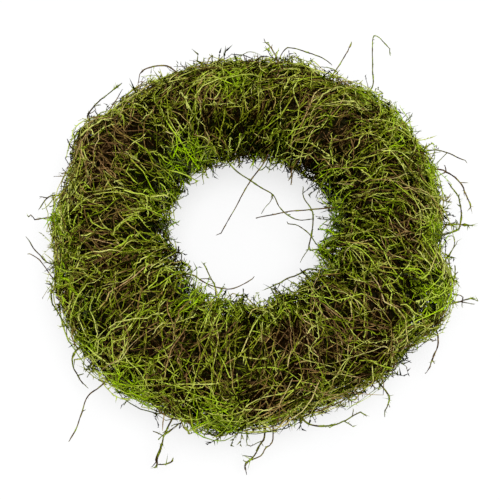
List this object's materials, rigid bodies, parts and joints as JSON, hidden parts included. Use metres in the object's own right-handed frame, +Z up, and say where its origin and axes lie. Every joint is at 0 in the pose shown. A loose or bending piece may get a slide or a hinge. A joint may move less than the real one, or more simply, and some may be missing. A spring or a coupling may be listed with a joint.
{
  "type": "moss and vine wreath",
  "caption": "Round wreath of tangled green moss and brown vine strands on a hidden vine hoop, with stray sprigs round its rim and in its hole, lying flat.",
  "frame": {"origin": "centre of the ring on the surface it lies on, which is also the middle of the bounding box's base", "axes": "+Z up along the ring's axis, -Y towards the viewer's side of the picture, +X to the picture's right"},
  "size_m": [0.3453, 0.3501, 0.0739],
  "materials": {
    "moss_green": "matte, fibrous",
    "moss_olive": "matte, fibrous",
    "vine_brown": "matte bark",
    "hoop_vine": "matte bark",
    "wire": "satin"
  },
  "bodies": {
    "root": {"binding_wire": "wire", "bunch_01": "moss_green", "bunch_02": "moss_green", "bunch_03": "vine_brown", "bunch_04": "moss_olive", "bunch_05": "moss_olive", "bunch_06": "moss_olive", "bunch_07": "vine_brown", "bunch_08": "vine_brown", "bunch_09": "moss_olive", "bunch_10": "moss_olive", "bunch_11": "moss_green", "bunch_12": "moss_green", "bunch_13": "moss_green", "bunch_14": "moss_olive", "bunch_15": "vine_brown", "bunch_16": "moss_olive", "hoop": "hoop_vine", "sprig_back_arch": "moss_green", "sprig_back_hook": "moss_green", "sprig_back_spike": "vine_brown", "sprig_back_stick": "vine_brown", "sprig_front_arc": "moss_green", "sprig_front_curl": "moss_green", "sprig_front_hang": "vine_brown", "sprig_front_long": "vine_brown", "sprig_front_pod": "moss_green", "sprig_front_spike": "moss_green", "sprig_front_squiggle": "vine_brown", "sprig_hole_across": "vine_brown", "sprig_hole_bow": "vine_brown", "sprig_hole_fork": "moss_green", "sprig_hole_leafy": "moss_green", "sprig_hole_left_spur": "moss_green", "sprig_hole_low": "moss_green", "sprig_hole_spur": "vine_brown", "sprig_hole_straight": "vine_brown", "sprig_hole_swoop": "moss_green", "sprig_left_bent": "vine_brown", "sprig_left_frond": "moss_green", "sprig_left_high_arc": "moss_green", "sprig_left_hook": "vine_brown", "sprig_left_low_arc": "vine_brown", "sprig_left_tall": "moss_green", "sprig_left_vee": "moss_green", "sprig_right_arch": "moss_green", "sprig_right_droop": "vine_brown", "sprig_right_fork": "moss_green", "sprig_right_loop": "moss_green", "sprig_right_stub": "moss_green", "sprig_right_twin": "moss_green"}
  },
  "joints": []
}
